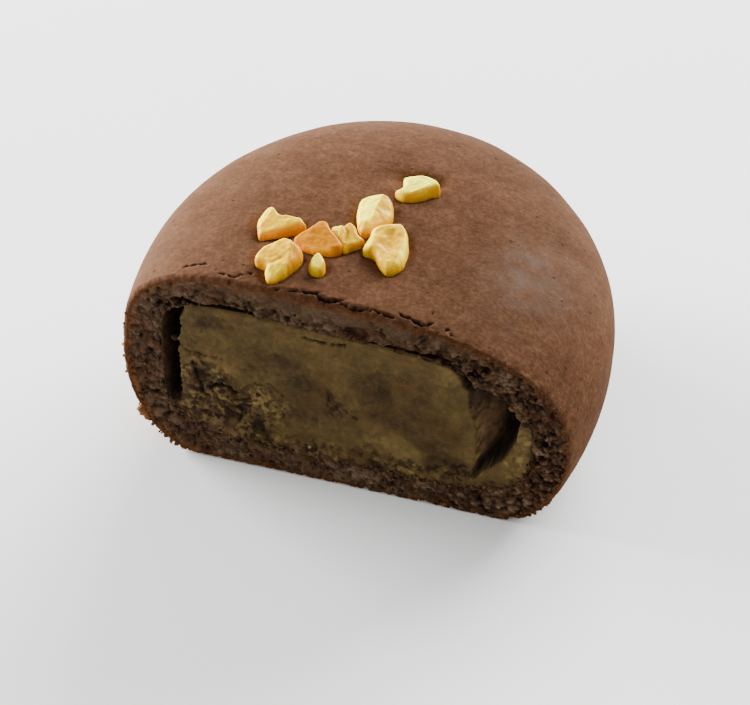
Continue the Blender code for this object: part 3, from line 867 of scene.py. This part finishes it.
def make_crust(base_skin, skin_back, depths):
    """The dough: skin, cut ring and cavity wall as one closed mesh."""
    wall_depths = growing_steps(0.16, 1.25, WALL_REACH)
    wall_rows, wall_back = surface_rows(inside_cavity, wall_depths, CAVITY_FAN, CAVITY_LENGTH)
    skin, crack = shape_skin(base_skin.copy(), depths)
    ring, ring_fields = cut_ring(skin[:COLUMNS], wall_rows[0])
    walls, wall_fields = cavity_wall(wall_rows)

    points = np.concatenate([skin, ring, walls])
    rows = len(base_skin)
    bands = len(points) // COLUMNS
    band = np.concatenate([np.arange(rows)[::-1], np.arange(rows, bands)])
    order = (band[:, None] * COLUMNS + np.arange(COLUMNS)).reshape(-1)
    points = np.concatenate([points[order], [skin_back, wall_back]])
    last_band = (bands - 1) * COLUMNS
    faces = strip_faces(bands, COLUMNS).tolist()
    faces += pole_faces(np.arange(COLUMNS), len(points) - 2, outward=False).tolist()
    faces += pole_faces(last_band + np.arange(COLUMNS), len(points) - 1, outward=True).tolist()
    face_materials = np.ones(len(faces), np.int32)
    face_materials[: (rows - 1) * COLUMNS] = 0
    face_materials[last_band : last_band + COLUMNS] = 0

    parts = ((skin, skin_fields(skin, crack)), (ring, ring_fields), (walls, wall_fields))
    attributes = {}
    for key in ("rim", "crack", "painted_sheen", "sheen_patch", "lift", "tone", "olive"):
        values = np.concatenate([fields.get(key, np.zeros(len(part))) for part, fields in parts])[order]
        attributes[key] = np.concatenate([values, values[:1], values[-1:]])
    finishes = (skin_material(), crumb_material())
    return make_piece("crust_dough", points, faces, attributes, finishes, face_materials)


# ---- the filling


def zone_share(points, zones):
    """How far each point of the cut face lies in soft zones of (x, z, half width, half height)."""
    ragged = points[:, [0, 2]] + 1.1 * drift(points, (2.4, 101.0), (2.0, 103.0))
    ragged += 0.5 * drift(points, (0.8, 105.0), (0.8, 107.0))
    share = np.zeros(len(points))
    for zone in zones:
        share = np.maximum(share, unit(1.5 - off_centre(ragged, *zone)))
    return share


def inside_loop(places, loop):
    """Which places lie inside a closed loop of corners."""
    inside = np.zeros(len(places), bool)
    for (x0, y0), (x1, y1) in zip(loop, loop[1:] + loop[:1]):
        if y0 == y1:
            continue
        spans = (places[:, 1] < y0) != (places[:, 1] < y1)
        crossing = x0 + (places[:, 1] - y0) * (x1 - x0) / (y1 - y0)
        inside ^= spans & (places[:, 0] < crossing)
    return inside


def pocket_depth(points):
    """Depth of the hollow and the slot at points of the filling's face."""
    plain = points[:, [0, 2]] + 0.2 * drift(points, (1.2, 181.0), (1.0, 183.0))
    ragged = plain + 0.22 * drift(points, (0.45, 185.0), (0.45, 187.0))
    sloping = 0.5 + 1.9 * away_from_stroke(points[:, [0, 2]], HOLLOW_LEFT)
    steep = 20.0 * away_from_stroke(plain, HOLLOW_RIGHT)
    hollow = np.minimum(np.minimum(sloping, steep), HOLLOW_DEPTH)
    hollow *= inside_loop(ragged, HOLLOW_LEFT + HOLLOW_RIGHT[1:-1])
    slot = np.minimum(14.0 * away_from_stroke(plain, SLOT_EDGE), SLOT_DEPTH)
    slot *= inside_loop(ragged, SLOT_EDGE)
    pocket = np.maximum(hollow, slot)
    inner = points + np.outer(pocket, (0, 1, 0))
    return pocket + unit(pocket) * (0.4 * soft(inner, 1.5, 189.0) + 0.16 * soft(inner, 0.6, 193.0))


def pocket_shade(points, pocket):
    """How much painted shade blackens the inside of each pocket: wholly away from the hollow's left slope.
    """
    across = away_from_stroke(points[:, [0, 2]], HOLLOW_LEFT) + 0.3 * soft(points, 1.2, 191.0)
    high = 0.6 * unit((points[:, 2] - 13.0) / 2.0)
    low = unit((9.0 - points[:, 2]) / 1.5) * unit(across / 0.5)
    shade = np.maximum(unit((across - 1.5) / 1.0) * (1 - high) + high, low)
    return shade * unit(pocket / 0.5)


def paste_relief(points):
    """Height in mm, share torn, tone and share of dough of the paste's face, smeared or torn into grains."""
    torn = np.clip(zone_share(points, TORN_ZONES), 0.14, 1) * (1 - 0.4 * unit((points[:, 0] + 9) / 3))
    doughy = np.exp(-(away_from_stroke(points[:, [0, 2]], HOLLOW_EDGE) / 0.9) ** 4)
    torn = np.maximum(torn, doughy)
    torn = np.maximum(torn, 0.45 * zone_share(points, HEAP_ZONES))
    warped = points + 0.3 * drift(points, (1.0, 111.0), (1.0, 117.0), (1.0, 123.0))
    clumps, clump_tones = grains(warped, 1.1, 12.0)
    crumbs, crumb_tones = grains(warped, 0.48, 14.0)
    pores = unit(soft(warped, 0.75, 19.0) - 0.2)
    swell = 0.2 * soft(points, 5.0, 27.0) + 0.07 * soft(points * (0.4, 1.0, 1.3), 1.2, 29.0)
    height = torn * (0.20 * (clumps - 0.6) + 0.17 * (crumbs - 0.6) - 0.3 * pores) + swell
    speck = crumb_tones - 0.5
    tone = torn * (0.06 + 0.22 * (clump_tones - 0.5) + 0.34 * speck) + 0.04 * speck
    return height, torn, tone, doughy


def shape_paste(face, share):
    """Presses the relief, tears and pockets into the paste's flat face in place, and gives its fields."""
    height, torn, grain_tone, doughy = paste_relief(face)
    tears = stroke_depth(face[:, [0, 2]], FILLING_TEARS, face)
    pocket = pocket_depth(face)
    height *= 1 - 0.85 * unit(pocket)
    rounding = 0.25 * unit((share - 0.95) / 0.05) ** 2
    light, dark, heap = (zone_share(face, zones) for zones in (LIGHT_ZONES, DARK_ZONES, HEAP_ZONES))
    # The tone rises with the relief on torn paste: painted shade in its pores, painted light on its grains.
    tone = 0.525 + 0.17 * light - 0.20 * dark + 0.22 * heap + grain_tone + 0.4 * height * torn
    tone += 0.10 * soft(face, 1.8, 141.0) + 0.06 * soft(face, 0.7, 149.0)
    cocoa = 0.75 * zone_share(face, COCOA_ZONES) * unit(0.7 + soft(face, 0.9, 143.0))
    cocoa = np.maximum(cocoa, np.maximum(doughy, unit(pocket / 1.2)))

    deep = pocket > 0.4
    inner = face[deep] + np.outer(pocket[deep], (0, 1, 0))
    lumps, lump_tones = grains(inner, 0.75, 21.0)
    tone[deep] = 0.90 - 0.40 * unit((inner[:, 2] - 12.5) / 2.5) + 0.3 * soft(inner, 1.1, 145.0)
    # Lighter on the raised lumps inside the pockets: painted light.
    tone[deep] += 0.35 * (lump_tones - 0.5) + 0.25 * (lumps - 0.5)
    pocket[deep] -= 0.25 * unit(lumps)
    face[:, 1] += FACE_SETBACK - height + tears + rounding + pocket
    pit = pocket_shade(face, pocket)
    return {"tone": unit(tone), "cocoa": cocoa, "tear": np.clip(tears / 0.35, 0, 0.9), "pit": pit}


def make_filling():
    """The bean paste: its uneven face with the slot and the hollow, and its sides against the dough."""
    across, up, edge = face_grid()
    depths = growing_steps(0.16, 1.22, WALL_REACH)
    sides, back = surface_rows(inside_filling, depths, CAVITY_FAN, CAVITY_LENGTH)
    share = np.maximum(np.abs(across), np.abs(up))
    heading = np.arctan2(up * CAVITY_HALF[2], across * CAVITY_HALF[0])
    order = np.argsort(ANGLES)
    reach = np.linalg.norm(sides[0] - CENTRE, axis=1)
    radius = np.interp(heading, ANGLES[order], reach[order], period=2 * math.pi) * share
    face = CENTRE + flat_rays(heading) * radius[:, None]
    fields = shape_paste(face, share)

    sides[:, :, 1] = np.maximum(sides[:, :, 1], face[edge, 1] + 0.02 * np.arange(len(sides))[:, None])
    sides = sides.reshape(-1, 3)[COLUMNS:]
    points = np.concatenate([face, sides, [back]])
    grid = np.arange(len(face)).reshape(FACE_UP + 1, FACE_ACROSS + 1)
    quads = np.stack([grid[:-1, :-1], grid[:-1, 1:], grid[1:, 1:], grid[1:, :-1]], axis=-1).reshape(-1, 4)
    first = len(face) + np.arange(COLUMNS)
    seam = np.stack([edge, first, np.roll(first, -1), np.roll(edge, -1)], axis=1)
    band = strip_faces(len(sides) // COLUMNS, COLUMNS, first=len(face))[:, ::-1]
    last = len(face) + len(sides) - COLUMNS + np.arange(COLUMNS)
    faces = quads.tolist() + seam.tolist() + band.tolist()
    faces += pole_faces(last, len(points) - 1, outward=False).tolist()
    attributes = {}
    for key, values in fields.items():
        unseen = np.full(len(points) - len(face), 0.3 if key == "tone" else 0.5)
        attributes[key] = np.concatenate([values, unseen])
    return make_piece("paste_filling", points, faces, attributes, (filling_material(),))


# ---- nuts and crumbs


def nut_crown(index, places, seeds, planes):
    """Height, as a share, and tone of a nut's crown, where its broken planes meet."""
    x, y = places.T
    levels = np.array([level + along * x + back * y for along, back, level, _ in planes])
    levels += 0.04 * np.array([soft(seeds, 1.1, 3.0 + plane) for plane in range(len(planes))])
    weights = np.exp(-40 * (levels - levels.min(axis=0)))
    weights /= weights.sum(axis=0)
    crown = (weights * levels).sum(axis=0)
    tone = (weights * np.array([plane[3] for plane in planes])[:, None]).sum(axis=0)
    if index in NUT_FOLDS:
        stroke, width, depth = NUT_FOLDS[index]
        fold = depth * on_stroke(places, stroke, width)
        crown -= fold
        tone -= 2.6 * fold
    return crown, tone


def make_nut(index, x, y, height, corners, planes, finish):
    """One chopped nut: broken planes with crisp edges and steep sides, half sunk in the skin."""
    outline = smooth_loop(corners, NUT_POINTS)
    places = np.concatenate([outline * share for share in NUT_SHARES] + [np.zeros((1, 2))])
    seeds = np.column_stack([places, np.full(len(places), index * 9.0)])
    edge = unit(away_from_stroke(places, closed_stroke(outline)) / NUT_EDGE)
    sides = 0.34 + 0.66 * np.sqrt(1 - (1 - edge) ** 2)
    crown, tone = nut_crown(index, places, seeds, planes)
    lift = sides * crown + (0.03 * soft(seeds, 0.5, 9.0) + 0.05 * soft(seeds, 1.0, 11.0)) * edge
    wobble = 1 + 0.02 * soft(seeds, 1.1, 15.0) + 0.03 * soft(seeds, 0.4, 19.0)
    ground = places * wobble[:, None] + (x, y)
    floor = skin_height(ground)
    top = np.column_stack([ground, floor + np.clip(lift, 0.1, None) * height])
    rim, rim_floor = ground[:NUT_POINTS], floor[:NUT_POINTS]
    skirt = np.column_stack([rim, rim_floor - 0.2])
    foot = np.column_stack([rim * 0.9 + (x * 0.1, y * 0.1), rim_floor - NUT_FOOT])
    points = np.concatenate([foot, skirt, top, [(x, y, floor[-1] - NUT_FOOT)]])

    ring = np.arange(NUT_POINTS)
    rows = len(NUT_SHARES) + 2
    faces = strip_faces(rows, NUT_POINTS).tolist()
    faces += pole_faces(ring, len(points) - 1, outward=False).tolist()
    faces += pole_faces((rows - 1) * NUT_POINTS + ring, len(points) - 2, outward=True).tolist()
    crest = np.exp(-((edge - 0.75) / 0.25) ** 2) * (edge < 1)
    tone = unit(tone + 0.22 * soft(seeds, 0.9, 17.0) + 0.25 * crest - 0.45 * (1 - edge))
    tones = np.concatenate([tone[:NUT_POINTS], tone[:NUT_POINTS], tone, tone[:1]])
    return make_piece(f"nut_{index + 1}", points, faces, {"tone": tones}, (finish,))


def grain_shape(draw, radius):
    """The corners and faces of one rounded, uneven crumb: an icosahedron, split once and distorted."""
    ico = 0.5 + math.sqrt(5) / 2
    corners = [(-1, ico, 0), (1, ico, 0), (-1, -ico, 0), (1, -ico, 0)]
    for _ in range(2):
        corners += [(z, x, y) for x, y, z in corners[-4:]]
    faces = [(0, 11, 5), (0, 5, 1), (0, 1, 7), (0, 7, 10), (0, 10, 11), (1, 5, 9), (5, 11, 4), (11, 10, 2)]
    faces += [(10, 7, 6), (7, 1, 8), (3, 9, 4), (3, 4, 2), (3, 2, 6), (3, 6, 8), (3, 8, 9), (4, 9, 5)]
    faces += [(2, 4, 11), (6, 2, 10), (8, 6, 7), (9, 8, 1)]
    corners = [Vector(corner).normalized() for corner in corners]
    middles = {}
    finer = []
    for a, b, c in faces:
        around = []
        for start, end in ((a, b), (b, c), (c, a)):
            key = (min(start, end), max(start, end))
            if key not in middles:
                middles[key] = len(corners)
                corners.append(((corners[start] + corners[end]) / 2).normalized())
            around.append(middles[key])
        ab, bc, ca = around
        finer += [(a, ab, ca), (b, bc, ab), (c, ca, bc), (ab, bc, ca)]
    stretch = Vector((draw.uniform(0.75, 1.25), draw.uniform(0.75, 1.2), draw.uniform(0.75, 1.25)))
    seed = Vector((draw.uniform(0, 50), draw.uniform(0, 50), draw.uniform(0, 50)))
    shaped = [corner * stretch * (1 + 0.6 * noise.noise(corner * 1.5 + seed)) * radius for corner in corners]
    return np.array(shaped), np.array(finer)


def crumb_spots(draw, outline, inner):
    """Spots of the scattered crumbs, as (x, back from the cut, z, radius, tone)."""

    def on_ring(column):
        """Over the cut ring, few of them on its smeared upper half."""
        share = draw.random()
        if math.sin(ANGLES[column]) > 0.35 and (share < 0.5 or draw.random() < 0.5):
            return None
        x, _, z = outline[column] + (inner[column] - outline[column]) * share
        radius = 0.08 + 0.13 * draw.random() ** 2.5
        return x, 0.20, z, radius, 0.15 + 0.5 * draw.random() ** 3

    def on_foot(column):
        """On the lower edge of the cut."""
        if math.sin(ANGLES[column]) > -0.25:
            return None
        x, _, z = outline[column]
        radius = draw.uniform(0.10, 0.24)
        return x, draw.uniform(0.05, 0.7), z, radius, draw.uniform(0.3, 0.75)

    def on_right(column):
        """Small ones along the right edge of the cut."""
        if math.cos(ANGLES[column]) < 0.3:
            return None
        x, _, z = outline[column] + (CENTRE - outline[column]) * 0.015
        return x, draw.uniform(0.1, 0.4), z, draw.uniform(0.08, 0.16), draw.random()

    def on_seam(column):
        """Where the paste meets the dough under it."""
        if math.sin(ANGLES[column]) > -0.15:
            return None
        out = (inner[column] - CENTRE) / np.linalg.norm(inner[column] - CENTRE)
        x, _, z = inner[column] + out * draw.uniform(-0.5, 0.4)
        radius = 0.10 + 0.16 * draw.random() ** 2
        return x, FACE_SETBACK, z, radius, draw.uniform(0.15, 0.58)

    spots = []
    for count, find in ((900, on_ring), (170, on_foot), (60, on_right), (420, on_seam)):
        spots += [find(draw.randrange(COLUMNS)) for _ in range(count)]
    return [spot for spot in spots if spot]


def make_crumbs(outline):
    """Loose crumbs that stick to the cut."""
    draw = random.Random(7)
    flat = flat_rays(ANGLES)
    inner = CENTRE + flat * cast(inside_cavity, CENTRE, flat)[:, None]
    points, faces, tones = [], [], []
    total = 0
    for x, back, z, radius, tone in (*crumb_spots(draw, outline, inner), *SINGLE_CRUMBS):
        shape, sides = grain_shape(draw, radius)
        points.append(shape + (x, CUT_Y + back, max(z, 1.8 * radius)))
        faces.append(sides + total)
        tones.append(np.full(len(shape), tone))
        total += len(shape)
    faces = np.concatenate(faces).tolist()
    attributes = {"tone": np.concatenate(tones)}
    return make_piece("loose_crumbs", np.concatenate(points), faces, attributes, (loose_crumb_material(),))


# ---- floor, light and camera


def place_in_frame(skin):
    """Where the bun's own origin lies in the frame, from the CAD's box of the crust."""
    low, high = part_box("crust")
    middle = (skin[..., 0].min() + skin[..., 0].max()) / 2
    return np.array(((low.x + high.x) / 2 - middle * MM, low.y - CUT_Y * MM, low.z))


def make_floor():
    """A wide pale floor, a hair under the bun."""
    data = bpy.data.meshes.new("floor")
    corners = [(x * FLOOR_HALF, y * FLOOR_HALF, 0) for x, y in ((-1, -1), (1, -1), (1, 1), (-1, 1))]
    data.from_pydata(corners, [], [(0, 1, 2, 3)])
    floor = bpy.data.objects.new("floor", data)
    floor.location.z = -FLOOR_DROP
    bpy.context.scene.collection.objects.link(floor)
    n = Nodes("pale_floor", roughness=0.85, specular=0.1)
    pale = n.ramp(n.noise(40.0), (0.3, (0.90, 0.90, 0.895)), (0.7, (0.92, 0.92, 0.915)))
    data.materials.append(n.finish(Base_Color=pale))


def add_light(name, place, size, power):
    """A soft oblong light at a place in metres, aimed at the bun."""
    data = bpy.data.lights.new(name, "AREA")
    data.shape = "RECTANGLE"
    data.size, data.size_y = size
    data.energy = power
    light = bpy.data.objects.new(name, data)
    light.location = place
    aim = Vector(LIGHT_TARGET) - Vector(place)
    light.rotation_euler = aim.to_track_quat("-Z", "Y").to_euler()
    bpy.context.scene.collection.objects.link(light)


def make_lights():
    """Soft lights from the left and from behind, and a pale surround."""
    world = bpy.data.worlds.new("surround")
    bpy.context.scene.world = world
    world.use_nodes = True
    background = world.node_tree.nodes["Background"]
    background.inputs["Color"].default_value = (1.0, 1.0, 1.0, 1.0)
    background.inputs["Strength"].default_value = SURROUND_STRENGTH
    for light in LIGHTS:
        add_light(*light)


def make_camera():
    """The camera, aimed at the bun from the front, a little right and well above."""
    data = bpy.data.cameras.new("camera")
    data.sensor_width = SENSOR_WIDTH
    data.lens = CAMERA_LENS
    data.clip_start = 0.01
    camera = bpy.data.objects.new("camera", data)
    azimuth = math.radians(CAMERA_AZIMUTH)
    elevation = math.radians(CAMERA_ELEVATION)
    level = math.cos(elevation)
    back = Vector((math.sin(azimuth) * level, -math.cos(azimuth) * level, math.sin(elevation)))
    place = Vector(OFFSET) + Vector(CAMERA_TARGET) * MM + back * CAMERA_DISTANCE * MM
    aim = (-back).to_track_quat("-Z", "Y").to_matrix().to_4x4()
    roll = Matrix.Rotation(math.radians(CAMERA_ROLL), 4, "Z")
    camera.matrix_world = Matrix.Translation(place) @ aim @ roll
    bpy.context.scene.collection.objects.link(camera)
    bpy.context.scene.camera = camera


# ---- the scene


skin_depths = np.concatenate([np.arange(0, 2.4, 0.09), 2.4 + growing_steps(0.12, 1.12, 2.6)])
base_skin, skin_back = surface_rows(inside_bun, skin_depths, SKIN_FAN, HALF_WIDTH * LENGTH_RATIO - CUT_Y)
OFFSET = place_in_frame(base_skin)
make_camera()
make_lights()
make_floor()

crust = make_crust(base_skin, skin_back, skin_depths)
filling = make_filling()
crumbs = make_crumbs(base_skin[0])
pieces = ((crust, "crust", "crust"), (filling, "filling", "filling"), (crumbs, "crust", "crumb"))
for piece, node, slot in pieces:
    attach(piece, "root")
    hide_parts(node)
nut_finishes = {name: nut_material(f"nut_{name}", *colours) for name, colours in NUT_COLOURS.items()}
for index, (x, y, height, finish, corners, planes) in enumerate(NUTS):
    nut = make_nut(index, x, y, height, corners, planes, nut_finishes[finish])
    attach(nut, "root")
    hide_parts("crust")
